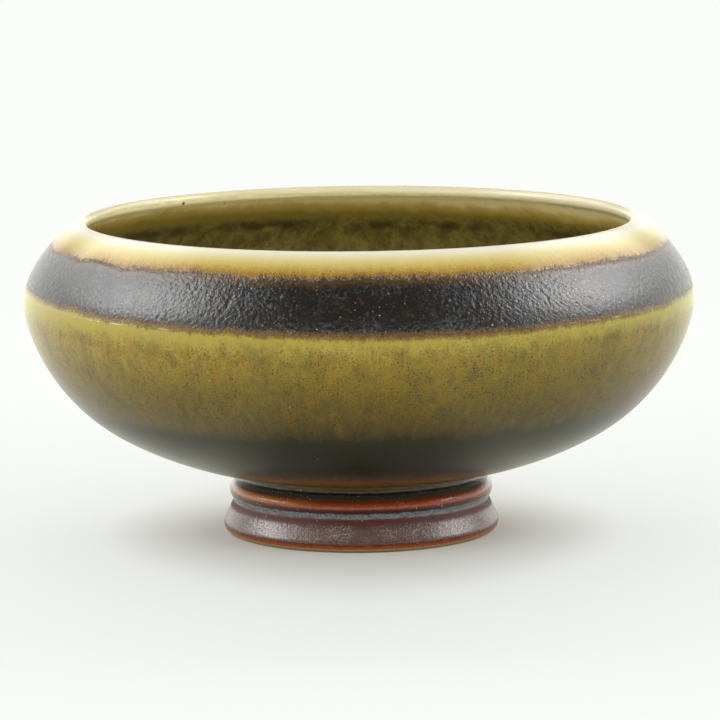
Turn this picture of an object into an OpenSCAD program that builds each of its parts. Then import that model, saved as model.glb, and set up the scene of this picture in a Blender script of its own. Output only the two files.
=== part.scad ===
// Footed stoneware bowl: a thrown bowl with a drawn-in mouth, on a separately thrown and
// turned foot ring that is luted to it with slip, and the coats of glaze fired onto both.
// The foot stands on z = 0, and z is the axis of the wheel.

/* [Bowl] */
// Widest radius of the bowl, over the glaze
belly_r = 85; // [80:1:96]
// Radius of the arc that turns the wall over at the widest place
turn_round = 16.4; // [14:0.2:20]
// Radius of the arc of the lower wall
lower_round = 48; // [42:1:54]
// Radius of the arc of the underside
underside_round = 90; // [80:1:100]
// Radius of the arc of the shoulder
shoulder_round = 34; // [28:1:40]
// Slope of the wall where the lower wall begins, below the level
turn_angle = 16; // [12:1:22]
// Slope of the wall where the underside begins, below the level
lower_angle = 61.3; // [56:0.1:64]
// Slope of the wall where the shoulder begins, above the level
shoulder_angle = 28; // [20:1:34]
// Slope of the wall where the lip begins, above the level
lip_angle = 58; // [50:1:64]
// Thickness of the wall at the lip, over the glaze
lip_t = 3; // [2.4:0.1:4]
// Thickness of the wall under the well, over the glaze
base_t = 7; // [6:0.1:9]

/* [Foot ring] */
// Height of the foot ring, from the table to its top
foot_h = 16.4; // [15:0.1:19]
// Widest radius of the flare, over the glaze
flare_r = 35.1; // [33:0.1:38]
// Lean of the side of the flare from the upright
flare_lean = 24; // [18:1:28]
// Radius of the rounded lower edge of the flare
flare_round = 2.2; // [1.6:0.1:2.8]
// Width of the ring at the table, from its recess to its widest place
ring_w = 8.3; // [7:0.1:9.5]
// How far the bead stands in from the widest place of the flare
bead_in = 1.55; // [0.8:0.05:2.4]
// Radius of the section of the bead
bead_round = 2.85; // [2.5:0.05:3.2]
// Radius of the fillet in the groove between the bead and the flare
groove_round = 0.7; // [0.4:0.1:1]
// Radius of the cove between the bead and the underside of the bowl
cove_round = 1.5; // [1:0.1:2]
// How far the back of the cove stands in from the bead
cove_in = 2.9; // [2.4:0.1:3.6]
// How far the edge of the bowl's underside stands out past the centre of the cove's arc
eave = 1.8; // [1:0.1:4]
// Lean of the wall of the recess from the upright
recess_lean = 4; // [0:1:8]
// Radius of the rounded inner edge that the foot stands on
recess_round = 1.2; // [0.6:0.1:2]

/* [Luted joint] */
// Thickness of the slip between the foot ring and the bowl
slip_t = 0.55; // [0.3:0.05:1]
// Depth of the scored rings that key the slip into both faces
score_depth = 0.3; // [0.2:0.05:0.5]
// Number of scored rings
score_count = 3; // [1:1:3]

/* [Glaze] */
// Thickness of the glaze
glaze_t = 0.5; // [0.2:0.05:0.8]
// How far the pale lip glaze comes down outside
lip_glaze_drop = 5.4; // [3:0.1:7]
// How far the pale lip glaze comes down inside
liner_drop = 3.8; // [3:0.1:6]
// Height of the dark band on the shoulder
shoulder_band_h = 12.8; // [10:0.1:15]
// Height of the ochre zone on the belly
belly_band_h = 25.4; // [20:0.1:28]
// Height above the table at which the glaze of the foot stops
bare_h = 1.1; // [0.6:0.1:2]

/* [Hidden] */
$fn = 144;

// Turn between two points of an arc
arc_step = 3;
// Turn from a face to the same face seen from behind, and to a face square to it
half_turn = 180;
quarter_turn = 90;
// Length by which a mask reaches past what it cuts
overrun = 2;
// Share of the wall's thickness at which the inside is told from the outside
middle_share = 0.5;

lip_round = lip_t / 2;

// Unit vector at an angle above the level
function dir(a) = [cos(a), sin(a)];

// Angle at which the line from one point to another climbs
function bearing(from, to) = atan2(to[1] - from[1], to[0] - from[0]);

// Points of an arc without its last one, so that arcs can follow each other
function arc(c, r, a0, a1) =
    let (n = ceil(abs(a1 - a0) / arc_step))
    [for (i = [0 : n - 1]) c + r * dir(a0 + (a1 - a0) * i / n)];

function backwards(points) = [for (i = [len(points) - 1 : -1 : 0]) points[i]];

// The joint: the top of the foot ring, the slip and the flat seat under the bowl
seat_z = foot_h + slip_t;
// Level of the glazed roof of the cove, under the seat
roof_z = seat_z - glaze_t;

// Foot ring: centres of the arcs of its section. Every coat keeps these centres, so the clay
// under a coat is the same outline with smaller rounds and larger hollows.
flare_c = [flare_r - flare_round, flare_round];
flare_foot = flare_c + flare_round * dir(flare_lean);
flare_up = dir(flare_lean + quarter_turn);
bead_r = flare_r - bead_in;
neck_r = bead_r - cove_in;
cove_c = [neck_r + cove_round, roof_z - cove_round];
// The bead hangs under the cove at the height where their arcs touch
bead_c_r = bead_r - bead_round;
bead_drop = sqrt(max(0, (bead_round + cove_round) ^ 2 - (cove_c[0] - bead_c_r) ^ 2));
bead_c = [bead_c_r, cove_c[1] - bead_drop];
// The fillet of the groove touches the bead and the side of the flare
groove_gap = flare_foot + groove_round * dir(flare_lean) - bead_c;
groove_reach = groove_gap * flare_up;
groove_run = -groove_reach
    - sqrt(max(0, groove_reach ^ 2 - groove_gap * groove_gap + (bead_round + groove_round) ^ 2));
groove_c = bead_c + groove_gap + groove_run * flare_up;
recess_r = flare_r - ring_w;
// Inner radius of the joint, and the distance from one scored ring to the next
joint_in = recess_r - (foot_h - recess_round) * tan(recess_lean);
score_pitch = (neck_r - joint_in) / (score_count + 1);

// Bowl: each arc of its outline touches the next, so their centres lie on shared normals. They
// are first set out round the level of the widest place, and then raised onto the seat.
turn_set = [belly_r - turn_round, 0];
lower_set = turn_set + (turn_round - lower_round) * dir(-turn_angle);
under_set = lower_set + (lower_round - underside_round) * dir(-lower_angle);
shoulder_set = turn_set + (turn_round - shoulder_round) * dir(shoulder_angle);
edge_r = cove_c[0] + eave;
edge_angle = -acos((edge_r - under_set[0]) / (underside_round - glaze_t));
lift = [0, seat_z - under_set[1] - (underside_round - glaze_t) * sin(edge_angle)];
shoulder_c = shoulder_set + lift;
lip_c = shoulder_c + (shoulder_round - lip_round) * dir(lip_angle);
rim_z = lip_c[1] + lip_round;
// The underside's arc runs level at the well, or ends where it meets the axis
well_r = max(0, under_set[0]);
well_angle = -acos((well_r - under_set[0]) / (underside_round - base_t));

// Arcs of the outline from the foot up: centre, radius, first and last angle
bowl_arcs = [
    [under_set + lift, underside_round, well_angle, -lower_angle],
    [lower_set + lift, lower_round, -lower_angle, -turn_angle],
    [turn_set + lift, turn_round, -turn_angle, shoulder_angle],
    [shoulder_c, shoulder_round, shoulder_angle, lip_angle],
];

// Levels where one glaze meets the next, outside and inside
band_top = rim_z - lip_glaze_drop;
belly_top = band_top - shoulder_band_h;
dark_top = belly_top - belly_band_h;
liner_top = rim_z - liner_drop;

// Wall thickness where the outline has this slope
function wall(a) = lip_t + (base_t - lip_t) * (lip_angle - a) / (lip_angle - well_angle);

// Outline of the bowl, set in from the glazed outside by a length and a share of the wall
function bowl_line(first, inset, wall_share) = [
    for (k = [0 : len(bowl_arcs) - 1])
        let (b = bowl_arcs[k],
            a0 = k == 0 ? first : b[2],
            n = ceil(abs(b[3] - a0) / arc_step))
        for (i = [0 : n - 1])
            let (a = a0 + (b[3] - a0) * i / n)
            b[0] + (b[1] - inset - wall_share * wall(a)) * dir(a)
];

// The surface from the edge over the foot, up the outside, over the lip and down to the well,
// at a depth below the glaze
function bowl_skin(depth) =
    let (inside = bowl_line(well_angle, -depth, 1))
    concat(
        bowl_line(edge_angle, depth, 0),
        arc(lip_c, lip_round - depth, lip_angle, lip_angle + half_turn),
        [lip_c - (lip_round - depth) * dir(lip_angle)],
        backwards(inside),
        well_r > 0 ? [[0, inside[0][1]]] : []
    );

// The surface of the foot from the roof of the cove down to the table, at a depth below the glaze
function foot_skin(depth) = concat(
    arc(cove_c, cove_round + depth, quarter_turn, bearing(cove_c, bead_c) + 2 * half_turn),
    arc(bead_c, bead_round - depth, bearing(bead_c, cove_c), bearing(bead_c, groove_c)),
    arc(groove_c, groove_round + depth, bearing(groove_c, bead_c), flare_lean + half_turn),
    arc(flare_c, flare_round - depth, flare_lean, -quarter_turn),
    [flare_c - [0, flare_round - depth]]
);

// Section of the foot ring and the slip on it, at a depth below the glaze
module foot_section(depth) {
    sole_z = flare_c[1] - flare_round + depth;
    roof = recess_r - (seat_z - recess_round) * tan(recess_lean);
    round_c = [recess_r + recess_round, recess_round];
    polygon(concat(
        foot_skin(depth),
        depth > 0
            ? [[round_c[0], sole_z]]
            : arc(round_c, recess_round, -quarter_turn, -half_turn),
        [[recess_r, recess_round], [roof, seat_z]]
    ));
}

// Half plane section between two levels
module between(low, high) {
    translate([0, low])
        square([belly_r + overrun, high - low]);
}

// Everything that lies inside the middle of the bowl's wall
module inside_section() {
    middle = bowl_line(well_angle, 0, middle_share);
    polygon(concat(
        [[0, middle[0][1]]],
        well_r > 0 ? middle : [for (i = [1 : len(middle) - 1]) middle[i]],
        [lip_c, [lip_c[0], rim_z + overrun], [0, rim_z + overrun]]
    ));
}

// Section of all the glaze on the bowl
module bowl_coat_section() {
    polygon(concat(bowl_skin(0), backwards(bowl_skin(glaze_t))));
}

// Section of the glaze on the outside of the bowl, between two levels
module outside_coat_section(low, high) {
    difference() {
        intersection() {
            bowl_coat_section();
            between(low, high);
        }
        inside_section();
    }
}

// Section of all the glaze on the foot, from the edge of the bowl's underside down
module foot_coat_section() {
    edge = bowl_line(edge_angle, 0, 0)[0];
    edge_clay = bowl_line(edge_angle, glaze_t, 0)[0];
    polygon(concat([edge], foot_skin(0), backwards(foot_skin(glaze_t)), [edge_clay]));
}

// Scored rings across the joint: notches with square corners, cut equally deep into both faces
module score_section() {
    notch = (slip_t + 2 * score_depth) / sqrt(2);
    for (i = [1 : score_count])
        translate([joint_in + i * score_pitch, foot_h + slip_t / 2])
            rotate(quarter_turn / 2)
                square(notch, center = true);
}

// The thrown bowl: fired buff clay, with the scored seat for the foot ring underneath
module thrown_bowl() {
    color("tan")
        rotate_extrude()
            difference() {
                polygon(concat([[0, seat_z]], bowl_skin(glaze_t)));
                score_section();
            }
}

// The foot ring: bare clay at the edge that it stands on, in the recess and on its top
module foot_ring() {
    color("burlywood")
        rotate_extrude()
            difference() {
                union() {
                    intersection() {
                        foot_section(glaze_t);
                        between(bare_h, foot_h);
                    }
                    intersection() {
                        foot_section(0);
                        between(0, bare_h);
                    }
                }
                score_section();
            }
}

// The slip that joins the two, smoothed off in the cove
module joining_slip() {
    color("rosybrown") {
        rotate_extrude()
            intersection() {
                foot_section(glaze_t);
                between(foot_h, seat_z);
            }
        rotate_extrude()
            score_section();
    }
}

// The olive liner, from the well up to the pale lip
module liner_glaze() {
    color("olive")
        rotate_extrude()
            intersection() {
                bowl_coat_section();
                inside_section();
                between(0, liner_top);
            }
}

// The pale glaze that has run thin over the lip
module lip_glaze() {
    color("wheat")
        rotate_extrude()
            union() {
                outside_coat_section(band_top, rim_z + overrun);
                intersection() {
                    bowl_coat_section();
                    inside_section();
                    between(liner_top, rim_z + overrun);
                }
            }
}

// The dark iron band on the shoulder
module shoulder_glaze() {
    color("#2c2722")
        rotate_extrude()
            outside_coat_section(belly_top, band_top);
}

// The ochre zone round the belly
module belly_glaze() {
    color("#8a7634")
        rotate_extrude()
            outside_coat_section(dark_top, belly_top);
}

// The dark olive zone under the bowl, down to the edge over the foot
module underside_glaze() {
    color("#34301f")
        rotate_extrude()
            outside_coat_section(0, dark_top);
}

// The grey cove and the rust-red bead of the foot
module bead_glaze() {
    color("#8a3a17")
        rotate_extrude()
            intersection() {
                foot_coat_section();
                between(groove_c[1], seat_z);
            }
}

// The purple-grey coat of the flare, which stops above the table
module flare_glaze() {
    color("#5c4846")
        rotate_extrude()
            intersection() {
                foot_coat_section();
                between(bare_h, groove_c[1]);
            }
}

thrown_bowl();
foot_ring();
joining_slip();
liner_glaze();
lip_glaze();
shoulder_glaze();
belly_glaze();
underside_glaze();
bead_glaze();
flare_glaze();
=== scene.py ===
"""A footed stoneware bowl with its fired glazes, modelled round the packed frame, and its studio.

Lengths are metres, as in the frame. Inside the materials a Mapping node turns them into millimetres, so each
speckle, streak and zone of colour there is given in millimetres.
"""
import math

import bpy
from mathutils import Matrix, Vector


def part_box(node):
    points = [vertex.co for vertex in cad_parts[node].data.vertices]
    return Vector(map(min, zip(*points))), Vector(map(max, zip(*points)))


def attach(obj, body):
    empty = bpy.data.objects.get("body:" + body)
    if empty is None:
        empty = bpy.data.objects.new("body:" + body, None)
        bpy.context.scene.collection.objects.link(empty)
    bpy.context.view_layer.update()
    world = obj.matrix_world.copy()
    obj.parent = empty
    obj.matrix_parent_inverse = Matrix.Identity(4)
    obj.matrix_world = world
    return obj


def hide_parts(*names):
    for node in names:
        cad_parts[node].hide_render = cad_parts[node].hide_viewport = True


bl_info = {
    "name": "Footed Bowl",
    "version": (1, 0, 0),
    "blender": (4, 5, 0),
    "location": "3D View > Sidebar > Bowl",
    "description": "Models a footed stoneware bowl, its fired glazes and a small photographic studio",
    "category": "Add Mesh",
}

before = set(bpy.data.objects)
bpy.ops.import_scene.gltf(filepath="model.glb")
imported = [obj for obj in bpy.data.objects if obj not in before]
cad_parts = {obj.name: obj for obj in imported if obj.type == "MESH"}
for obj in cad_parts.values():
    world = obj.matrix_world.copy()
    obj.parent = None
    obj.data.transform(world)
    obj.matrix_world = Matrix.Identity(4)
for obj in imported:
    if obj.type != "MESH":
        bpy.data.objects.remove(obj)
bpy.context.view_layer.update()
BODY = "root"
MM = 0.001
FULL_TURN = 2 * math.pi
# Distance in metres within which two points are one
WELD = 1e-6
# Columns of faces round a piece, fine for the pitted band and coarser for the smooth pieces
FINE_COLUMNS = 1536
COLUMNS = 768
SMOOTH_COLUMNS = 512
# Vertex group of the points that take relief
RELIEF = "pitted"
# Steepest angle between two faces that are shaded as one surface
SMOOTH_ANGLE = math.radians(30)
# Place in millimetres of the dark speck inside the lip
IRON_SPECK = (-46.3, 51.1, 78.1)
# Width in millimetres of the sensor that the camera's lens is meant for
SENSOR = 36

# Levels and radii that the packed pieces hold
RIM_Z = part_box("lip_glaze")[1].z
BAND_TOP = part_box("shoulder_glaze")[1].z
BELLY_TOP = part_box("belly_glaze")[1].z
DARK_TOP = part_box("underside_glaze")[1].z
EDGE_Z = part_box("underside_glaze")[0].z
LINER_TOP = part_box("liner_glaze")[1].z
WELL_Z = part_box("liner_glaze")[0].z
GROOVE_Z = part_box("flare_glaze")[1].z
BARE_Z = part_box("flare_glaze")[0].z
SEAT_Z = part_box("thrown_bowl")[0].z
BELLY_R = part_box("belly_glaze")[1].x
FLARE_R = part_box("flare_glaze")[1].x


def linear(code):
    """Scene colour of a colour written as six hexadecimal digits."""
    parts = [int(code[i:i + 2], 16) / 255 for i in (0, 2, 4)]
    return [c / 12.92 if c < 0.04045 else ((c + 0.055) / 1.055) ** 2.4 for c in parts]


def number(name, description, default, **settings):
    """A number that the user can change."""
    return bpy.props.FloatProperty(name=name, description=description, default=default, **settings)


def length(name, description, default):
    """A length that the user can change, in metres."""
    return number(name, description, default, min=0, unit="LENGTH", precision=5)


def slope(name, description, degrees):
    """An angle that the user can change."""
    return number(name, description, math.radians(degrees), unit="ROTATION")


def colour(name, description, code):
    """A colour that the user can change."""
    return bpy.props.FloatVectorProperty(
        name=name, description=description, default=linear(code), subtype="COLOR", min=0, max=1)


def share(name, description, default):
    """A share from nothing to all that the user can change."""
    return number(name, description, default, min=0, max=1, subtype="FACTOR")


def power(name, description, default):
    """Power of a lamp, in watts."""
    return number(name, description, default, min=0, unit="POWER")


class BowlSizes(bpy.types.PropertyGroup):
    """Driving sizes of the bowl's section, over the glaze."""

    belly_radius: length("Belly radius", "Widest radius of the bowl", BELLY_R)
    turn_round: length("Turn", "Radius of the arc at the widest place", 0.0164)
    lower_round: length("Lower wall", "Radius of the arc of the lower wall", 0.048)
    underside_round: length("Underside", "Radius of the arc of the underside", 0.090)
    shoulder_round: length("Shoulder", "Radius of the arc of the shoulder", 0.034)
    turn_angle: slope("Turn ends", "Slope below the level where the lower wall begins", 16)
    lower_angle: slope("Lower wall ends", "Slope below the level where the underside begins", 61.3)
    shoulder_angle: slope("Shoulder begins", "Slope above the level where the shoulder begins", 28)
    lip_angle: slope("Lip begins", "Slope above the level where the lip begins", 58)
    lip_wall: length("Lip wall", "Thickness of the wall at the lip", 0.003)
    base_wall: length("Base wall", "Thickness of the wall under the well", 0.007)
    glaze: length("Glaze", "Thickness of a coat of glaze", 0.0005)
    uneven_size: length("Uneven size", "Size of the unevenness of the iron band", 0.0011)
    uneven_depth: length("Uneven depth", "Depth of the unevenness of the iron band", 0.00014)
    pit_spacing: length("Pit spacing", "Distance between the pits in the iron band", 0.0026)
    pit_depth: length("Pit depth", "Depth of the pits in the iron band", 0.00024)
    pit_width: share("Pit width", "Radius of a pit as a share of the distance between pits", 0.24)


class FootSizes(bpy.types.PropertyGroup):
    """Driving sizes of the foot ring's section, over the glaze."""

    flare_radius: length("Flare radius", "Widest radius of the flare", FLARE_R)
    flare_lean: slope("Flare lean", "Lean of the side of the flare from the upright", 24)
    flare_round: length("Flare edge", "Radius of the rounded lower edge", 0.0022)
    bead_in: length("Bead set-in", "How far the bead stands in from the flare", 0.00155)
    bead_round: length("Bead", "Radius of the bead's section", 0.00285)
    groove_round: length("Groove", "Radius of the fillet in the groove", 0.0007)
    cove_round: length("Cove", "Radius of the cove under the bowl", 0.0015)
    cove_in: length("Cove set-in", "How far the back of the cove stands in from the bead", 0.0029)


class GlazeColours(bpy.types.PropertyGroup):
    """Colours of the fired glazes and of the clay."""

    cream: colour("Cream", "Glaze that has run thin over the lip", "efe9d2")
    straw: colour("Straw", "Pale glaze under the cream", "dcd196")
    # Sand is also painted light on the left of the belly
    sand_and_painted_light: colour("Sand", "Speckled glaze under the straw", "c9b061")
    amber: colour("Amber", "Glaze above the dark band", "9c772a")
    umber: colour("Umber", "Brown where the amber meets the dark band", "4a3519")
    iron: colour("Iron", "Dark band on the shoulder", "1d1a17")
    # Soot is also painted shade in the cove under the bowl
    soot_and_painted_shade: colour("Soot", "Blackest glaze of the dark band and of the cove", "100e0b")
    rust: colour("Rust", "Brown fringe of the dark band", "5c3a0e")
    steel: colour("Steel", "Blue-grey crystals in the dark band", "56666e")
    # Honey on the left of the bead is painted light, where the highlights fall
    honey_and_painted_light: colour("Honey", "Flecks in the dark band, and the left of the bead", "a0702c")
    yellow: colour("Yellow", "Bright line under the dark band, and scattered dots", "9c8b34")
    wheat: colour("Wheat", "Glaze under the bright line, and above the olive inside", "8e7a2a")
    ochre: colour("Ochre", "Glaze round the belly", "6e5c18")
    tawny: colour("Tawny", "Deeper glaze low on the belly", "4e3f12")
    fox: colour("Fox", "Warmest streaks round the belly", "8a6414")
    # Moss is also painted shade on the right of the belly and low on its left
    moss_and_painted_shade: colour("Moss", "Grey-green blotches in the ochre", "4c4622")
    lichen: colour("Lichen", "Where the ochre runs out into the dark olive", "28220e")
    pepper: colour("Pepper", "Fine dark specks", "241c0e")
    olive: colour("Dark olive", "Glaze under the bowl", "221f0e")
    hazel: colour("Hazel", "Lighter line over the cove", "6c5420")
    bark: colour("Bark", "Brown where the glaze thins over the foot and on the dark band", "684c22")
    gold: colour("Gold", "Thin edge over the foot", "624a16")
    chalk: colour("Chalk", "Whitest glaze, on the outer edge of the crest", "fffbea")
    crest: colour("Crest", "Glaze on the crest of the lip", "e8dfba")
    # Milk and butter are pale glaze, made paler still as painted light in the shade where the wall turns down
    # under the lip
    milk_and_painted_light: colour("Milk", "Palest glaze inside the lip", "f8eec0")
    butter_and_painted_light: colour("Butter", "Glaze lower inside the lip", "f8e6a2")
    pool: colour("Pool", "Paler glaze down in the well", "b4a45c")
    liner: colour("Liner", "Olive glaze inside", "7c7036")
    shade: colour("Shade", "Dark line inside, where the shoulder turns in", "3a3018")
    ash: colour("Ash", "Grey glaze pooled under the cove", "36332b")
    flame: colour("Flame", "Orange-red glaze that breaks over the bead", "7c2e04")
    ember: colour("Ember", "Darker orange at the edges of the bead", "5a260c")
    slate: colour("Slate", "Grey-blue glaze pooled in the groove", "788080")
    # Maroon is also painted shade on the bead's underside, which faces down under the bowl
    maroon_and_painted_shade: colour("Maroon", "Red-brown glaze at the top of the flare", "42180f")
    plum: colour("Plum", "Purple-grey glaze of the flare", "59443d")
    rim: colour("Orange edge", "Orange edge of the glaze at the foot", "8a4214")
    # Frost is real crystals on the foot, and painted glints, which are painted highlights, in the dark band
    frost_and_painted_glints: colour("Frost", "Pale crystals of the foot, and glints in the dark band", "c2c4c0")
    clay: colour("Clay", "Bare fired clay", "927a58")


class StudioSettings(bpy.types.PropertyGroup):
    """The camera and the light."""

    camera_back: length("Camera distance", "Distance of the camera in front of the bowl's axis", 1.105)
    camera_up: length("Camera height", "Height of the camera over the floor", 0.2117)
    camera_aside: length("Camera offset", "Distance of the camera to the right of the axis", 0.00007)
    camera_pitch: slope("Camera pitch", "How far the camera looks down", 8.657)
    camera_roll: slope("Camera roll", "How far the camera turns to the right", 0.6)
    lens: number("Lens", "Focal length", 219.35, min=1, subtype="DISTANCE_CAMERA")
    ambient: share("Ambient", "Strength of the light from all round", 0.42)
    horizon: number("Horizon", "Strength of the horizon that the gloss mirrors", 1.9, min=0)
    dim: share("Dim ceiling", "Strength of what the gloss mirrors above the horizon", 0.12)
    lamp_away: length("Lamp distance", "Distance of the lamps from the bowl", 1.2)
    side_fill: power("Side fill", "Power of the low soft boxes at the sides", 6.0)
    front_fill: power("Front fill", "Power of the low soft boxes at the front corners", 5.1)
    back_fill: power("Back fill", "Power of the soft box behind", 12.0)
    sheen: power("Sheen", "Power of the soft boxes that only the gloss mirrors", 13.0)
    window: power("Windows", "Power of the smaller boxes in the middle of the sheen", 5.0)
    strip: power("Strips", "Power of the narrow bright lights that only the gloss mirrors", 1.8)
    low: power("Low lights", "Power of the low lights that only the gloss mirrors", 3.6)
    tinge: colour("Floor tinge", "Colour of the floor in the gloss under the bowl", "f6fbe2")
    haze: share("Floor haze", "Share of the background's white in the floor close to the bowl", 0.55)
    floor_near: length("Floor near", "Distance up to which the floor is lit paper", 0.09)
    floor_far: length("Floor far", "Distance from which the floor is as white as the background", 0.48)
    floor_mirrored: share("Floor mirrored", "Share of the floor that the gloss mirrors near the foot", 0.05)
    shine: share("Floor shine", "Share of the horizon's light in the floor mirrored at the sides", 0.25)
    floor: colour("Floor", "Colour of the floor", "f4f5ef")
    backdrop: colour("Backdrop", "Colour of the background", "fbfdfa")


def polar(angle):
    """Unit vector in the plane of the section, at an angle above the level."""
    return Vector((math.cos(angle), math.sin(angle)))


def bearing(start, end):
    """Angle at which the line from start to end climbs."""
    return math.atan2(end.y - start.y, end.x - start.x)


def sweep(centre, radius, first, last, step):
    """Points of an arc whose radius is a length, or a function of the angle."""
    reach = radius if callable(radius) else (lambda angle: radius)
    steps = max(2, math.ceil(abs(last - first) * abs(reach(first)) / step))
    angles = [first + (last - first) * i / steps for i in range(steps + 1)]
    return [centre + reach(a) * polar(a) for a in angles]


def stride(points, step):
    """The same line without doubled points, and with its long straight stretches divided."""
    line = [points[0]]
    for point in points[1:]:
        start = line[-1]
        gap = (point - start).length
        if gap < step * 0.05:
            continue
        parts = max(1, round(gap / step))
        line += [start.lerp(point, i / parts) for i in range(1, parts + 1)]
    return line


def between(points, low, high):
    """The stretch of a line whose height lies between two levels."""
    kept = []
    for start, end in zip(points, points[1:]):
        rise = end.y - start.y
        if abs(rise) < WELD:
            shares = (0, 1) if low - WELD < start.y < high + WELD else ()
        else:
            cuts = sorted(((low - start.y) / rise, (high - start.y) / rise))
            shares = (max(0, cuts[0]), min(1, cuts[1]))
        if shares and shares[0] < shares[1]:
            kept += [start.lerp(end, s) for s in shares]
    return [here for last, here in zip([None] + kept, kept) if last is None or (here - last).length > WELD]


def layers(line, glaze, steps, low, high):
    """The surface and the underside of a coat between two levels, each with its own step between points."""
    return [between(stride(line(depth, step), step), low, high) for depth, step in zip((0, glaze), steps)]


class Section:
    """The section of the bowl and of its foot as arcs that touch each other, at any depth in the wall."""

    def __init__(self, bowl, foot):
        self.bowl = bowl
        self.foot = foot
        lip_round = bowl.lip_wall / 2
        turn = Vector((bowl.belly_radius - bowl.turn_round, 0))
        lower = turn + (bowl.turn_round - bowl.lower_round) * polar(-bowl.turn_angle)
        under = lower + (bowl.lower_round - bowl.underside_round) * polar(-bowl.lower_angle)
        shoulder = turn + (bowl.turn_round - bowl.shoulder_round) * polar(bowl.shoulder_angle)
        lip = shoulder + (bowl.shoulder_round - lip_round) * polar(bowl.lip_angle)
        lift = Vector((0, RIM_Z - lip_round - lip.y))
        self.lip = lip + lift
        self.lip_round = lip_round
        self.well_angle = -math.pi / 2
        self.edge_angle = math.asin((EDGE_Z - under.y - lift.y) / bowl.underside_round)
        self.arcs = (
            (under + lift, bowl.underside_round, self.well_angle, -bowl.lower_angle),
            (lower + lift, bowl.lower_round, -bowl.lower_angle, -bowl.turn_angle),
            (turn + lift, bowl.turn_round, -bowl.turn_angle, bowl.shoulder_angle),
            (shoulder + lift, bowl.shoulder_round, bowl.shoulder_angle, bowl.lip_angle),
        )
        self.flare_centre = Vector((foot.flare_radius - foot.flare_round, foot.flare_round))
        bead_radius = foot.flare_radius - foot.bead_in
        roof = SEAT_Z - bowl.glaze
        self.cove_centre = Vector((bead_radius - foot.cove_in + foot.cove_round, roof - foot.cove_round))
        bead_r = bead_radius - foot.bead_round
        drop = math.sqrt((foot.bead_round + foot.cove_round) ** 2 - (self.cove_centre.x - bead_r) ** 2)
        self.bead_centre = Vector((bead_r, self.cove_centre.y - drop))
        side = polar(foot.flare_lean)
        up = polar(foot.flare_lean + math.pi / 2)
        gap = self.flare_centre + (foot.flare_round + foot.groove_round) * side - self.bead_centre
        reach = gap.dot(up)
        touch = (foot.bead_round + foot.groove_round) ** 2
        run = -reach - math.sqrt(reach ** 2 - gap.length_squared + touch)
        self.groove_centre = self.bead_centre + gap + run * up

    def wall(self, angle):
        """Thickness of the wall where the outside has this slope."""
        bowl = self.bowl
        rise = (bowl.lip_angle - angle) / (bowl.lip_angle - self.well_angle)
        return bowl.lip_wall + (bowl.base_wall - bowl.lip_wall) * rise

    def outside(self, depth, step):
        """Outside of the bowl from the edge over the foot up to the lip's arc."""
        line = []
        for centre, radius, first, last in self.arcs:
            line += sweep(centre, radius - depth, max(first, self.edge_angle), last, step)
        return line

    def inside(self, depth, step):
        """Inside of the bowl from the lip's arc down to the axis."""
        line = []
        for centre, radius, first, last in reversed(self.arcs):
            line += sweep(centre, lambda a, c=radius: c - self.wall(a) + depth, last, first, step)
        return line + [Vector((0, line[-1].y))]

    def crest(self, depth, step):
        """The lip's arc, from the outside over the top to the inside."""
        angle = self.bowl.lip_angle
        return sweep(self.lip, self.lip_round - depth, angle, angle + math.pi, step)

    def foot_side(self, depth, step):
        """Outside of the foot, from the bowl's edge over the cove down to the table."""
        foot = self.foot
        cove, bead, groove, flare = self.cove_centre, self.bead_centre, self.groove_centre, self.flare_centre
        line = [self.outside(depth, step)[0]]
        line += sweep(cove, foot.cove_round + depth, math.pi / 2, bearing(cove, bead) + FULL_TURN, step)
        line += sweep(bead, foot.bead_round - depth, bearing(bead, cove), bearing(bead, groove), step)
        line += sweep(groove, foot.groove_round + depth, bearing(groove, bead),
                      foot.flare_lean + math.pi, step)
        line += sweep(flare, foot.flare_round - depth, foot.flare_lean, -math.pi / 2, step)
        return line


def draw(name, outline):
    """A wire outline in the upright plane through the axis, drawn from one vertex by extruding.

    It is left as the active object, and so the next steps work on it.
    """
    start = outline[0]
    bpy.ops.object.select_all(action="DESELECT")
    bpy.ops.mesh.primitive_plane_add(size=MM, location=(start.x, 0, start.y))
    piece = bpy.context.active_object
    piece.name = piece.data.name = name
    bpy.ops.object.mode_set(mode="EDIT")
    bpy.ops.mesh.merge(type="CENTER")
    for here, there in zip(outline, outline[1:]):
        step = there - here
        bpy.ops.mesh.extrude_region_move(TRANSFORM_OT_translate={"value": (step.x, 0, step.y)})
    bpy.ops.object.mode_set(mode="OBJECT")
    bpy.ops.object.transform_apply(location=True, rotation=True, scale=True)
    return piece


def throw(piece, columns):
    """Turns a drawn outline round the axis into a closed, smooth piece."""
    lathe = piece.modifiers.new("lathe", "SCREW")
    lathe.axis = "Z"
    lathe.angle = FULL_TURN
    lathe.steps = lathe.render_steps = columns
    bpy.ops.object.modifier_apply(modifier=lathe.name)
    bpy.ops.object.mode_set(mode="EDIT")
    bpy.ops.mesh.select_all(action="SELECT")
    bpy.ops.mesh.remove_doubles(threshold=WELD)
    bpy.ops.mesh.delete_loose()
    bpy.ops.mesh.select_all(action="SELECT")
    bpy.ops.mesh.normals_make_consistent(inside=False)
    bpy.ops.object.mode_set(mode="OBJECT")
    bpy.ops.object.shade_smooth_by_angle(angle=SMOOTH_ANGLE)


def relief(piece, texture, strength):
    """Raises and sinks the surface along its normals by a texture, where its points have weight."""
    modifier = piece.modifiers.new(texture.name, "DISPLACE")
    modifier.texture = texture
    modifier.texture_coords = "LOCAL"
    modifier.direction = "NORMAL"
    modifier.mid_level = 0.5
    modifier.strength = strength
    modifier.vertex_group = RELIEF
    bpy.ops.object.modifier_apply(modifier=modifier.name)


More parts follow.
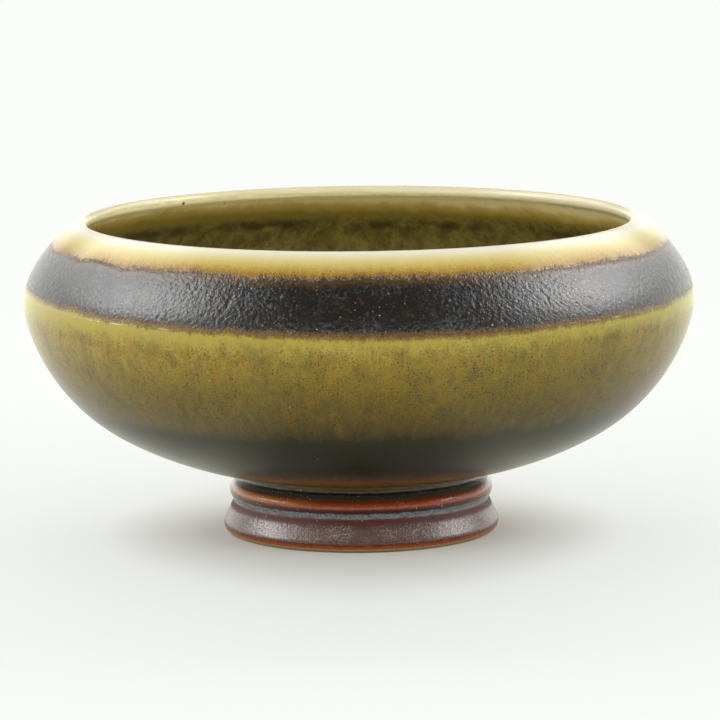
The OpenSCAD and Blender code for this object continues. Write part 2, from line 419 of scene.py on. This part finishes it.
def clouds(name, size):
    """Soft uneven texture with features of one size."""
    texture = bpy.data.textures.new(name, "CLOUDS")
    texture.noise_scale = size
    return texture


def pits(name, size, width):
    """Texture that is level, with a round hollow of a share of each cell's width in its middle."""
    texture = bpy.data.textures.new(name, "VORONOI")
    texture.noise_scale = size
    texture.use_color_ramp = True
    low, high = texture.color_ramp.elements
    low.position, low.color = 0, (0, 0, 0, 1)
    high.position, high.color = width, (0.5, 0.5, 0.5, 1)
    texture.color_ramp.interpolation = "EASE"
    return texture


def coat(name, outer, inner, columns, weight=None):
    """A closed coat of glaze between an outer line and an inner one, turned round the axis.

    A coat that takes relief has its weight as a function of the place on the outer line.
    """
    piece = draw(name, outer + inner[::-1] + [outer[0]])
    if weight:
        group = piece.vertex_groups.new(name=RELIEF)
        for index, point in enumerate(outer):
            group.add([index], weight(point), "REPLACE")
    throw(piece, columns)
    return piece


def place(piece, material, slot, *nodes):
    """Finishes a piece, and puts it in the stead of the packed nodes that it shows."""
    piece.data.materials.append(material)
    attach(piece, BODY)
    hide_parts(*nodes)


class Nodes:
    """A node tree whose nodes are laid by short calls."""

    def __init__(self, tree):
        self.tree = tree

    def add(self, kind, **settings):
        """A new node with its settings."""
        node = self.tree.nodes.new("ShaderNode" + kind)
        for setting, value in settings.items():
            setattr(node, setting, value)
        return node

    def feed(self, socket, value):
        """Links a socket, or sets its value."""
        if isinstance(value, bpy.types.NodeSocket):
            self.tree.links.new(value, socket)
        elif socket.type == "RGBA":
            socket.default_value = (*value[:3], 1)
        else:
            socket.default_value = value

    def fit(self, node, **values):
        """Feeds the sockets of a node by their names."""
        for name, value in values.items():
            self.feed(node.inputs[name], value)
        return node

    def call(self, node, *values, output=0):
        """Feeds the first sockets of a node in their order, and gives one of its outputs."""
        for socket, value in zip(node.inputs, values):
            self.feed(socket, value)
        return node.outputs[output]

    def mapped(self, vector, location=(0, 0, 0), scale=(1, 1, 1)):
        """A vector scaled and moved by a Mapping node."""
        return self.fit(self.add("Mapping"), Vector=vector, Location=location, Scale=scale).outputs[0]

    def parts(self, vector):
        """The three parts of a vector."""
        return self.fit(self.add("SeparateXYZ"), Vector=vector).outputs

    def vector(self, operation, *vectors, output="Vector"):
        """The result of a sum on vectors."""
        return self.call(self.add("VectorMath", operation=operation), *vectors, output=output)

    def math(self, operation, *values):
        """The result of a sum on values."""
        return self.call(self.add("Math", operation=operation), *values)

    def total(self, *values):
        """The sum of values."""
        whole = values[0]
        for value in values[1:]:
            whole = self.math("ADD", whole, value)
        return whole

    def times(self, *values):
        """The product of values."""
        whole = values[0]
        for value in values[1:]:
            whole = self.math("MULTIPLY", whole, value)
        return whole

    def remap(self, value, low, high, to_low=0.0, to_high=1.0, smooth=False):
        """A value carried from one range to another, and held at its ends."""
        kind = "SMOOTHSTEP" if smooth else "LINEAR"
        return self.call(self.add("MapRange", interpolation_type=kind), value, low, high, to_low, to_high)

    def zone(self, value, low, high, fade):
        """1 between two levels, fading to 0 over a width inside each."""
        return self.times(self.remap(value, low, low + fade), self.remap(value, high, high - fade))

    def mix(self, factor, a, b):
        """The second colour laid over the first."""
        node = self.add("Mix", data_type="RGBA")
        sockets = {socket.identifier: socket for socket in node.inputs}
        self.feed(sockets["Factor_Float"], factor)
        self.feed(sockets["A_Color"], a)
        self.feed(sockets["B_Color"], b)
        return next(s for s in node.outputs if s.identifier == "Result_Color")

    def over(self, paint, *coats):
        """Colours laid over a paint in turn, each with the shares whose product is how much of it shows."""
        for tint, *shares in coats:
            paint = self.mix(self.times(*shares), paint, tint)
        return paint


class Recipe(Nodes):
    """A glaze or a clay whose nodes are laid by short calls. Lengths in it are millimetres."""

    def __init__(self, name, specular=0.5):
        self.material = bpy.data.materials.new(name)
        self.material.use_nodes = True
        super().__init__(self.material.node_tree)
        self.tree.nodes.clear()
        self.shader = self.fit(self.add("BsdfPrincipled"), **{"Specular IOR Level": specular})
        self.fit(self.add("OutputMaterial"), Surface=self.shader.outputs["BSDF"])
        where = self.add("TexCoord").outputs["Object"]
        self.place = self.mapped(where, scale=(1 / MM, 1 / MM, 1 / MM))
        self.x, _, self.z = self.parts(self.place)
        flat = self.mapped(self.place, scale=(1, 1, 0))
        self.radius = self.vector("LENGTH", flat, output="Value")
        self.round = self.mapped(self.vector("NORMALIZE", flat), scale=(BELLY_R / MM, BELLY_R / MM, 0))

    def along(self, stretch, turn=0.0):
        """Place on the wall with its height shortened, so that a pattern runs down the wall in streaks."""
        height = self.mapped(self.place, location=(0, 0, turn), scale=(0, 0, 1 / stretch))
        return self.vector("ADD", self.round, height)

    def upright(self, stretch):
        """Place with its height shortened: a pattern runs down a steep wall, and lies even on a floor."""
        return self.mapped(self.place, scale=(1, 1, 1 / stretch))

    def slanted(self, level):
        """Place on the wall on which a pattern runs in slanted streaks, which climb to the front."""
        side, slant = 30, 0.014
        slants = self.remap(self.x, -side, side, -slant, slant)
        turn = self.times(self.math("SUBTRACT", self.z, level), slants)
        node = self.fit(self.add("VectorRotate", rotation_type="Z_AXIS"), Vector=self.round, Angle=turn)
        return self.vector("ADD", node.outputs[0], self.mapped(self.place, scale=(0, 0, 0.25)))

    def noise(self, vector, size, detail=2.0, roughness=0.5):
        """Soft noise from 0 to 1 with features of one size."""
        node = self.add("TexNoise")
        self.fit(node, Vector=vector, Scale=1 / size, Detail=detail, Roughness=roughness)
        return node.outputs[0]

    def swing(self, *arguments):
        """The same noise, from -1 to 1 about its middle."""
        return self.remap(self.noise(*arguments), 0.25, 0.75, -1, 1)

    def specks(self, vector, size, width, kept):
        """Round specks of a share of each cell's width, in the share of the cells that is kept."""
        node = self.fit(self.add("TexVoronoi"), Vector=vector, Scale=1 / size)
        spot = self.remap(node.outputs["Distance"], width, width * 0.5)
        chance = self.call(self.add("SeparateColor"), node.outputs["Color"])
        return self.times(spot, self.remap(chance, kept, kept - 0.05))

    def patches(self, vector, size, low, high, detail=2.0):
        """Soft patches where the noise rises from low to high."""
        return self.remap(self.noise(vector, size, detail, 0.6), low, high)

    def zones(self, value, *groups):
        """Colours by height: each group is a level and its pairs of an offset from it and a colour."""
        stops = [(level + offset, tint) for level, *pairs in groups for offset, tint in pairs]
        low, high = stops[0][0], stops[-1][0]
        node = self.fit(self.add("ValToRGB"), Fac=self.remap(value, low, high))
        elements = node.color_ramp.elements
        while len(elements) < len(stops):
            elements.new(0.5)
        for element, (level, shade) in zip(elements, stops):
            element.position = (level - low) / (high - low)
            element.color = (*shade[:3], 1)
        return node.outputs[0]

    def bump(self, height, depth, normal=None):
        """Bumps of a depth in millimetres."""
        node = self.fit(self.add("Bump"), Strength=1, Distance=depth * MM, Height=height)
        if normal is not None:
            self.fit(node, Normal=normal)
        return node.outputs[0]

    def finish(self, base, roughness, normal):
        """The material, once its shader has its colour, its roughness and its bumps."""
        self.fit(self.shader, **{"Base Color": base, "Roughness": roughness, "Normal": normal})
        return self.material


def outside_glaze(tints, name, specular, crest=None):
    """Cream, amber, iron, yellow, ochre and olive in zones of height, with grainy, toothed and run edges.

    The coat over the lip has the colours of the inside within its crest, where the wall leans out.
    """
    glaze = Recipe(name, specular)
    top, band, belly, dark, edge = (level / MM for level in (RIM_Z, BAND_TOP, BELLY_TOP, DARK_TOP, EDGE_Z))
    here, x, z = glaze.place, glaze.x, glaze.z
    grain = glaze.swing(here, 0.5, 2, 0.6)
    teeth = glaze.swing(glaze.along(1.4), 1.6, 3, 0.6)
    runs = glaze.swing(glaze.along(2.5), 4, 3, 0.6)
    drift = glaze.swing(glaze.along(1.5), 14)
    toothed = glaze.remap(z, top - 1.5, band, 0, 0.45)
    above_dark = glaze.remap(z, dark, belly)
    ragged = glaze.total(
        z,
        glaze.times(grain, glaze.remap(z, top - 1.2, band + 0.6, 0, 0.8),
                    glaze.remap(z, belly - 3, belly, 0.3, 0.8)),
        glaze.times(teeth, toothed),
        glaze.times(drift, toothed),
        glaze.times(x, glaze.remap(z, band, belly, 0.003, 0.011), above_dark),
        glaze.times(x, x, glaze.remap(z, band, belly, 0.00014, -0.0003), above_dark),
        glaze.times(glaze.zone(z, belly - 6, belly + 3, 3), 0.25),
        glaze.times(runs, glaze.remap(z, dark + 10, dark, 0.1, 1.1),
                    glaze.remap(z, edge + 6, dark - 4, 0.2, 1)))
    paint = glaze.zones(
        ragged,
        (edge, (0, tints.gold), (1, tints.gold), (2, tints.bark), (4, tints.bark), (4.8, tints.rust),
         (6.6, tints.olive)),
        (dark, (-6, tints.olive), (-1.8, tints.lichen), (1.8, tints.tawny), (10, tints.ochre)),
        (belly, (-6, tints.wheat), (-3.4, tints.yellow), (-1.3, tints.yellow), (-0.7, tints.ochre),
         (0.2, tints.rust), (1.2, tints.soot_and_painted_shade), (2.6, tints.iron)),
        (band, (-2.4, tints.iron), (-0.8, tints.umber), (-0.1, tints.umber), (0.8, tints.amber),
         (2.5, tints.sand_and_painted_light), (3.9, tints.straw), (5.1, tints.cream), (7, tints.cream), (9, tints.chalk)))
    if crest:
        lean = glaze.remap(z, crest.y, crest.y - 10, 0, 7.2)
        within = glaze.remap(glaze.math("SUBTRACT", glaze.radius, lean), crest.x + 0.4, crest.x - 0.4)
        paint = glaze.mix(within, paint, inside_paint(glaze, tints))
    on_belly = glaze.zone(z, dark - 3, belly - 0.5, 4)
    blotches = glaze.patches(glaze.along(1.3), 7, 0.45, 0.7)
    warm = glaze.patches(glaze.along(1.5), 2, 0.46, 0.66, 4)
    warmth = glaze.times(glaze.remap(x, -60, 60, 0.55, 0.4), glaze.remap(z, dark, belly - 8, 0.35, 1))
    peppered = glaze.times(glaze.remap(glaze.noise(here, 4), 0.35, 0.6, 0.5, 1), on_belly)
    on_band = glaze.zone(ragged, belly, band + 0.6, 1)
    dusty = glaze.times(glaze.patches(here, 0.7, 0.5, 0.66, 3), glaze.patches(here, 9, 0.42, 0.6))
    scattered = glaze.patches(here, 5, 0.45, 0.6)
    # The belly is painted sandier to the left as painted light, and greyer to the right and low on the left
    # as painted shade, with blotches, streaks and pepper over it
    paint = glaze.over(
        paint,
        (tints.moss_and_painted_shade, on_belly, glaze.remap(x, 0, 60, 0, 0.22)),
        (tints.sand_and_painted_light, on_belly, glaze.remap(x, -20, -60, 0, 0.14)),
        (tints.moss_and_painted_shade, on_belly, blotches, glaze.remap(x, -60, 60, 0.3, 0.6)),
        (tints.moss_and_painted_shade, on_belly, glaze.remap(x, 0, -60, 0, 0.4), glaze.remap(z, belly - 8, dark + 6)),
        (tints.fox, on_belly, warm, warmth),
        (tints.moss_and_painted_shade, on_belly, glaze.patches(glaze.along(1.4, 30), 2.2, 0.5, 0.68, 4), 0.5),
        (tints.moss_and_painted_shade, on_belly, glaze.patches(glaze.along(4, 40), 0.6, 0.45, 0.7), 0.2),
        (tints.pepper, peppered, glaze.patches(here, 0.32, 0.54, 0.64, 1), 0.75),
        (tints.pepper, peppered, glaze.specks(here, 0.9, 0.28, 0.3)),
        (tints.yellow, glaze.specks(here, 6, 0.05, 0.3)))
    # The band is browned and dusty in patches, with honey flecks and pale painted glints
    paint = glaze.over(
        paint,
        (tints.bark, on_band, glaze.patches(here, 1.3, 0.55, 0.75, 4), 0.4),
        (tints.steel, on_band, dusty, 0.35),
        (tints.honey_and_painted_light, on_band, glaze.specks(here, 1, 0.24, 0.3), scattered, 0.6),
        # Pale specks painted as glints: painted highlights on the band
        (tints.frost_and_painted_glints, on_band, glaze.specks(here, 1.5, 0.11, 0.4), scattered))
    fine = glaze.noise(here, 0.4, 3, 0.6)
    peel = glaze.noise(here, 0.85, 3, 0.6)
    wrinkles = glaze.noise(glaze.slanted((band + belly) / 2), 1, 3, 0.6)
    skin = glaze.bump(fine, 0.006)
    skin = glaze.bump(glaze.times(peel, on_band), 0.2, skin)
    skin = glaze.bump(glaze.times(wrinkles, on_band), 0.1, skin)
    return glaze.finish(paint, glaze.remap(fine, 0.3, 0.7, 0.2, 0.28), skin)


def inside_paint(glaze, tints):
    """Colours of the inside by height: mottled olive, a broken dark line, amber, and pale up to the lip, with
    a paler ring of painted light under the crest.
    """
    top, well = RIM_Z / MM, WELL_Z / MM
    here, x, z = glaze.place, glaze.x, glaze.z
    runs = glaze.swing(glaze.upright(2), 3, 3, 0.6)
    drift = glaze.swing(here, 12)
    ragged = glaze.total(z, glaze.times(runs, 0.5), glaze.times(drift, 0.5), glaze.times(x, 0.015))
    # The paler milk and butter under the crest are painted light in the shade under the lip
    paint = glaze.zones(
        ragged,
        (well, (0, tints.pool), (26, tints.pool)),
        (top, (-22, tints.liner), (-10, tints.liner), (-7.8, tints.wheat), (-5.7, tints.sand_and_painted_light),
         (-4.2, tints.butter_and_painted_light), (-2.7, tints.milk_and_painted_light), (-2, tints.straw), (-1, tints.crest),
         (0, tints.crest)))
    below = glaze.remap(z, top - 8, top - 10)
    line = glaze.zone(ragged, top - 13, top - 9.6, 1.2)
    away = glaze.vector("DISTANCE", here, IRON_SPECK, output="Value")
    return glaze.over(
        paint,
        (tints.shade, below, glaze.patches(glaze.upright(1.6), 3.2, 0.4, 0.62, 4), 0.6),
        (tints.shade, line, glaze.patches(here, 6, 0.4, 0.6), 0.85),
        (tints.pepper, below, glaze.patches(here, 1, 0.5, 0.7, 3), 0.45),
        (tints.pepper, below, glaze.specks(here, 0.9, 0.25, 0.3), 0.6),
        (tints.umber, glaze.remap(away, 0.6, 0.25)))


def inside_glaze(tints):
    """The olive liner, smooth and softly glossy."""
    glaze = Recipe("fired_liner")
    fine = glaze.noise(glaze.place, 0.4, 3, 0.6)
    rough = glaze.remap(fine, 0.3, 0.7, 0.32, 0.42)
    return glaze.finish(inside_paint(glaze, tints), rough, glaze.bump(fine, 0.012))


def foot_glaze(tints, name, specular, gloss):
    """Glaze that pools grey in the cove and the groove, and breaks orange over the bead and the edges, with
    painted shade in maroon under the bead and in soot in the cove.
    """
    glaze = Recipe(name, specular)
    bare, groove, roof = BARE_Z / MM, GROOVE_Z / MM, EDGE_Z / MM
    here, x, z = glaze.place, glaze.x, glaze.z
    grain = glaze.swing(here, 0.5, 3, 0.6)
    waves = glaze.swing(glaze.along(1), 7, 3)
    ragged = glaze.total(z, glaze.times(grain, 0.16), glaze.times(waves, 0.16))
    # Maroon just over the slate is painted shade on the bead's underside, and soot in the cove is painted
    # shade under the bowl; the maroon at the top of the flare is a darker red-brown under the bead
    paint = glaze.zones(
        ragged,
        (bare, (0, tints.rim), (0.4, tints.rim), (0.9, tints.ember), (1.3, tints.maroon_and_painted_shade), (2.2, tints.plum),
         (4.4, tints.plum), (5.6, tints.maroon_and_painted_shade)),
        (groove, (-0.2, tints.maroon_and_painted_shade), (0.3, tints.slate), (1.05, tints.slate), (1.4, tints.ash),
         (1.7, tints.maroon_and_painted_shade), (2.2, tints.maroon_and_painted_shade), (2.6, tints.flame), (3.4, tints.flame), (4.2, tints.ember),
         (4.7, tints.ash), (5.3, tints.ash), (5.8, tints.soot_and_painted_shade)),
        (roof, (-1.5, tints.soot_and_painted_shade), (-1, tints.hazel), (0, tints.hazel)))
    on_flare = glaze.zone(z, bare + 1.4, groove - 1, 1.6)
    in_groove = glaze.zone(z, groove, groove + 1.6, 0.5)
    on_bead = glaze.zone(z, groove + 2.6, groove + 4.6, 0.6)
    below_roof = glaze.remap(z, roof - 0.8, roof - 1.4)
    dust = glaze.patches(here, 0.38, 0.48, 0.68, 4)
    crystals = glaze.specks(here, 0.8, 0.2, 0.3)
    paint = glaze.over(
        paint,
        (tints.frost_and_painted_glints, on_flare, dust, glaze.patches(here, 4, 0.35, 0.6), 0.5),
        (tints.maroon_and_painted_shade, on_flare, glaze.patches(here, 0.8, 0.52, 0.68, 3), 0.4),
        (tints.iron, in_groove, glaze.patches(here, 0.6, 0.45, 0.62, 3), 0.55),
        # Honey on the bead's left is painted light, on the side where the highlights fall
        (tints.honey_and_painted_light, on_bead, glaze.remap(x, -10, -28, 0, 0.6)),
        (tints.frost_and_painted_glints, below_roof, crystals, glaze.patches(here, 5, 0.45, 0.6), 0.8))
    fine = glaze.noise(here, 0.5, 3, 0.6)
    pooled = glaze.zone(z, groove - 2.2, groove + 0.1, 0.7)
    in_cove = glaze.zone(z, groove + 4.4, roof, 0.4)
    matt = glaze.total(pooled, glaze.times(in_cove, 0.3))
    rough = glaze.total(glaze.remap(fine, 0.3, 0.7, gloss * 0.7, gloss * 1.3), glaze.times(matt, 0.4))
    lumps = glaze.bump(glaze.noise(here, 1, 2), 0.08)
    return glaze.finish(paint, rough, glaze.bump(fine, 0.05, lumps))


def bare_clay(tints):
    """Fired clay with the fine rings that the turning tool leaves."""
    clay = Recipe("bare_clay")
    rings = clay.noise(clay.vector("ADD", clay.mapped(clay.place, scale=(0, 0, 1)), clay.radius), 0.6, 2)
    grit = clay.noise(clay.place, 0.35, 3, 0.65)
    paint = clay.mix(clay.remap(grit, 0.35, 0.7, 0, 0.4), tints.clay, tints.bark)
    height = clay.total(clay.times(rings, 0.6), clay.times(grit, 0.4))
    return clay.finish(paint, 0.85, clay.bump(height, 0.12))


def tools(context):
    """The colours, the section and the thickness of a coat that the operators share."""
    scene = context.scene
    return scene.bowl_colours, Section(scene.bowl_sizes, scene.bowl_foot), scene.bowl_sizes.glaze


class BOWL_OT_throw_body(bpy.types.Operator):
    """Finishes the thrown body, the foot ring and the slip between them as bare fired clay"""

    bl_idname = "bowl.throw_body"
    bl_label = "Thrown Body and Foot Ring"

    def execute(self, context):
        clay = bare_clay(context.scene.bowl_colours)
        for node in ("thrown_bowl", "foot_ring", "joining_slip"):
            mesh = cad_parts[node].data
            mesh.materials.clear()
            mesh.materials.append(clay)
        return {"FINISHED"}


class BOWL_OT_line_inside(bpy.types.Operator):
    """Pours the olive liner, from the well up to the pale lip"""

    bl_idname = "bowl.line_inside"
    bl_label = "Liner"

    def execute(self, context):
        tints, section, glaze = tools(context)
        lines = layers(section.inside, glaze, (0.0012, 0.0025), 0, LINER_TOP)
        place(coat("olive_liner", *lines, SMOOTH_COLUMNS), inside_glaze(tints), "liner", "liner_glaze")
        return {"FINISHED"}


class BOWL_OT_glaze_lip(bpy.types.Operator):
    """Lays the pale glaze over the lip"""

    bl_idname = "bowl.glaze_lip"
    bl_label = "Lip Glaze"

    def execute(self, context):
        tints, section, glaze = tools(context)
        steps = (0.0003, 0.0008)
        without = layers(section.outside, glaze, steps, BAND_TOP, RIM_Z)
        crest = [section.crest(depth, step) for depth, step in zip((0, glaze), steps)]
        within = layers(section.inside, glaze, steps, LINER_TOP, RIM_Z)
        lines = [stride(sum(parts, []), step) for *parts, step in zip(without, crest, within, steps)]
        fired = outside_glaze(tints, "fired_lip", 0.3, section.lip / MM)
        place(coat("pale_lip", *lines, COLUMNS), fired, "lip", "lip_glaze")
        return {"FINISHED"}


class BOWL_OT_glaze_shoulder(bpy.types.Operator):
    """Lays the dark iron band on the shoulder, with its pits and its uneven skin"""

    bl_idname = "bowl.glaze_shoulder"
    bl_label = "Iron Band"

    def execute(self, context):
        tints, section, glaze = tools(context)
        sizes = section.bowl
        low_fade, high_fade = 0.0015, 0.0020

        def weight(point):
            """None at the band's edges, where it meets the other coats, and full within its fades."""
            return max(0, min(1, (point.y - BELLY_TOP) / low_fade, (BAND_TOP - point.y) / high_fade))

        lines = layers(section.outside, glaze, (0.0003, 0.0030), BELLY_TOP, BAND_TOP)
        piece = coat("iron_band", *lines, FINE_COLUMNS, weight)
        relief(piece, clouds("uneven", sizes.uneven_size), sizes.uneven_depth)
        relief(piece, pits("pits", sizes.pit_spacing, sizes.pit_width), sizes.pit_depth)
        place(piece, outside_glaze(tints, "fired_iron", 0.5), "iron_band", "shoulder_glaze")
        return {"FINISHED"}


class BOWL_OT_glaze_belly(bpy.types.Operator):
    """Lays the ochre zone round the belly, and the dark olive zone under it down to the edge over the foot"""

    bl_idname = "bowl.glaze_belly"
    bl_label = "Hare's Fur Belly and Dark Underside"

    def execute(self, context):
        tints, section, glaze = tools(context)
        fired = outside_glaze(tints, "fired_belly", 0.3)
        coats = (("ochre_belly", 0.0005, DARK_TOP, BELLY_TOP, "ochre", "belly_glaze"),
                 ("dark_underside", 0.0007, EDGE_Z, DARK_TOP, "dark_olive", "underside_glaze"))
        for name, step, low, high, slot, node in coats:
            lines = layers(section.outside, glaze, (step, 0.0020), low, high)
            place(coat(name, *lines, COLUMNS), fired, slot, node)
        return {"FINISHED"}


class BOWL_OT_glaze_foot(bpy.types.Operator):
    """Lays the glaze of the foot: the cove and the bead, and the flare down to the bare edge"""

    bl_idname = "bowl.glaze_foot"
    bl_label = "Foot Glaze"

    def execute(self, context):
        tints, section, glaze = tools(context)
        bead = foot_glaze(tints, "fired_bead", 0.5, 0.1)
        flare = foot_glaze(tints, "fired_flare", 0.6, 0.28)
        coats = (("cove_and_bead", GROOVE_Z, SEAT_Z, bead, "bead", "bead_glaze"),
                 ("flare_coat", BARE_Z, GROOVE_Z, flare, "flare", "flare_glaze"))
        for name, low, high, fired, slot, node in coats:
            lines = layers(section.foot_side, glaze, (0.00025, 0.0006), low, high)
            place(coat(name, *lines, COLUMNS), fired, slot, node)
        return {"FINISHED"}


class BOWL_OT_set_stage(bpy.types.Operator):
    """Sets the pale floor, the soft lights and the camera"""

    bl_idname = "bowl.set_stage"
    bl_label = "Studio"

    def execute(self, context):
        studio = context.scene.bowl_studio
        self.lay_floor(studio)
        self.set_lights(studio)
        self.light_world(context, studio)
        self.set_camera(context, studio)
        context.scene.view_settings.view_transform = "Standard"
        return {"FINISHED"}

    def lay_floor(self, studio):
        """A paper floor that keeps the bowl's shadow, and that is the white of the background far from it."""
        bpy.ops.object.select_all(action="DESELECT")
        bpy.ops.mesh.primitive_grid_add(x_subdivisions=8, y_subdivisions=8, size=12)
        floor = bpy.context.active_object
        floor.name = "studio_floor"
        paper = bpy.data.materials.new("white_paper")
        paper.use_nodes = True
        floor.data.materials.append(paper)
        lay = Nodes(paper.node_tree)
        shader = paper.node_tree.nodes["Principled BSDF"]
        rays = lay.add("LightPath").outputs
        where = lay.add("TexCoord").outputs["Object"]
        away = lay.vector("LENGTH", where, output="Value")
        aside = lay.math("ABSOLUTE", lay.parts(where)[0])
        unseen = lay.times(
            rays["Is Glossy Ray"], 1 - studio.floor_mirrored,
            lay.remap(away, FLARE_R, studio.floor_near, 1, 0), lay.remap(aside, 0, FLARE_R * 2, 1, 0))
        base = lay.mix(unseen, studio.floor, (0, 0, 0))
        lay.fit(shader, **{"Base Color": base, "Roughness": 1, "Specular IOR Level": 0})
        seen = lay.math("MAXIMUM", rays["Is Camera Ray"], rays["Is Glossy Ray"])
        front_reach, side_reach = studio.floor_near * 1.1, studio.floor_near * 0.72
        reach = lay.remap(aside, 0, FLARE_R * 2, front_reach, side_reach)
        haze = lay.remap(away, FLARE_R, reach, 0.02, studio.haze)
        shine_starts, shine_full = FLARE_R * 0.7, FLARE_R * 1.3
        shine = lay.times(studio.shine, lay.remap(aside, shine_starts, shine_full),
                          lay.remap(aside, shine_full, studio.floor_near, 1, 0.2))
        haze = lay.total(lay.times(rays["Is Camera Ray"], haze), lay.times(rays["Is Glossy Ray"], shine))
        far = lay.remap(away, studio.floor_near, studio.floor_far, haze, seen, smooth=True)
        white = lay.mix(rays["Is Glossy Ray"], studio.backdrop, studio.tinge)
        strength = lay.remap(rays["Is Glossy Ray"], 0, 1, 1, studio.horizon)
        glow = lay.fit(lay.add("Emission"), Color=white, Strength=strength)
        surface = lay.call(lay.add("MixShader"), far, shader.outputs[0], glow.outputs[0])
        lay.fit(paper.node_tree.nodes["Material Output"], Surface=surface)

    def set_lights(self, studio):
        """Soft boxes by bearing and height in degrees, width, height and power.

        The fills light the bowl and aren't mirrored, and the others are mirrored and light nothing.
        """
        fills = (
            ("left_fill", -80, 9, 1.2, 0.4, studio.side_fill),
            ("right_fill", 80, 9, 1.2, 0.4, studio.side_fill * 0.9),
            ("left_front_fill", -38, 19, 1.4, 0.4, studio.front_fill),
            ("right_front_fill", 38, 19, 1.4, 0.4, studio.front_fill),
            ("back_fill", 180, 35, 2.0, 0.5, studio.back_fill),
        )
        mirrored = (
            ("left_sheen", -111, 38, 1.6, 0.8, studio.sheen),
            ("right_sheen", 111, 38, 1.6, 0.8, studio.sheen),
            ("left_window", -90, 40, 0.4, 0.5, studio.window),
            ("right_window", 98, 40, 0.4, 0.5, studio.window),
            ("left_strip", -66, 32, 0.7, 0.05, studio.strip),
            ("right_strip", 84, 32, 0.7, 0.05, studio.strip),
            ("left_low", -88, 21, 0.8, 0.14, studio.low),
            ("right_low", 92, 21, 0.8, 0.14, studio.low * 0.65),
        )
        for fill in fills:
            self.hang_lamp(studio, *fill).visible_glossy = False
        for light in mirrored:
            self.hang_lamp(studio, *light).visible_diffuse = False

    def hang_lamp(self, studio, name, turn, lift, width, height, watts):
        """A soft box aimed at the middle of the bowl, which the camera doesn't see."""
        turn, lift = math.radians(turn), math.radians(lift)
        away = Vector((math.sin(turn) * math.cos(lift), -math.cos(turn) * math.cos(lift), math.sin(lift)))
        target = Vector((0, 0, RIM_Z / 2))
        bpy.ops.object.light_add(type="AREA", location=target + away * studio.lamp_away)
        lamp = bpy.context.active_object
        lamp.name = lamp.data.name = name
        lamp.data.shape = "RECTANGLE"
        lamp.data.size = width
        lamp.data.size_y = height
        lamp.data.energy = watts
        lamp.rotation_euler = away.to_track_quat("Z", "Y").to_euler()
        lamp.visible_camera = False
        return lamp

    def light_world(self, context, studio):
        """White behind the bowl and at the mirrored horizon, dim above it, and an even light all round."""
        world = bpy.data.worlds.new("studio_world")
        context.scene.world = world
        world.use_nodes = True
        # Sampled as a lamp, the world would not keep to what its Light Path says
        world.cycles.sampling_method = "NONE"
        sky = Nodes(world.node_tree)
        rays = sky.add("LightPath").outputs
        lift = sky.parts(sky.add("TexCoord").outputs["Generated"])[2]
        horizon_ends, ceiling_starts = 0.12, 0.32
        mirrored = sky.remap(lift, horizon_ends, ceiling_starts, studio.horizon, studio.dim, smooth=True)
        strength = sky.remap(rays["Is Glossy Ray"], 0, 1, studio.ambient, mirrored)
        strength = sky.remap(rays["Is Camera Ray"], 0, 1, strength, 1.0)
        sky.fit(world.node_tree.nodes["Background"], Color=studio.backdrop, Strength=strength)

    def set_camera(self, context, studio):
        """The camera in the photograph's place."""
        bpy.ops.object.camera_add(location=(studio.camera_aside, -studio.camera_back, studio.camera_up))
        camera = context.active_object
        camera.name = "studio_camera"
        camera.data.lens = studio.lens
        camera.data.sensor_width = SENSOR
        camera.data.clip_end = 100
        pitch = Matrix.Rotation(math.pi / 2 - studio.camera_pitch, 4, "X")
        roll = Matrix.Rotation(-studio.camera_roll, 4, "Z")
        camera.matrix_world = Matrix.Translation(camera.location) @ pitch @ roll
        context.scene.camera = camera


class BOWL_PT_workshop(bpy.types.Panel):
    """Lists the sizes, the colours and the steps of the making"""

    bl_label = "Footed Bowl"
    bl_idname = "BOWL_PT_workshop"
    bl_space_type = "VIEW_3D"
    bl_region_type = "UI"
    bl_category = "Bowl"

    def draw(self, context):
        layout = self.layout
        for step in STEPS:
            layout.operator(step.bl_idname)
        for group in GROUPS:
            box = layout.box()
            box.label(text=group.__doc__)
            settings = getattr(context.scene, GROUPS[group])
            for field in group.__annotations__:
                box.prop(settings, field)


GROUPS = {
    BowlSizes: "bowl_sizes",
    FootSizes: "bowl_foot",
    GlazeColours: "bowl_colours",
    StudioSettings: "bowl_studio",
}
STEPS = (
    BOWL_OT_throw_body,
    BOWL_OT_line_inside,
    BOWL_OT_glaze_lip,
    BOWL_OT_glaze_shoulder,
    BOWL_OT_glaze_belly,
    BOWL_OT_glaze_foot,
    BOWL_OT_set_stage,
)


def register():
    for group, field in GROUPS.items():
        bpy.utils.register_class(group)
        setattr(bpy.types.Scene, field, bpy.props.PointerProperty(type=group))
    for kind in (*STEPS, BOWL_PT_workshop):
        bpy.utils.register_class(kind)


def unregister():
    for kind in reversed((*STEPS, BOWL_PT_workshop)):
        bpy.utils.unregister_class(kind)
    for group, field in GROUPS.items():
        delattr(bpy.types.Scene, field)
        bpy.utils.unregister_class(group)


def main():
    register()
    for step in STEPS:
        family, name = step.bl_idname.split(".")
        getattr(getattr(bpy.ops, family), name)()


if __name__ == "__main__":
    main()
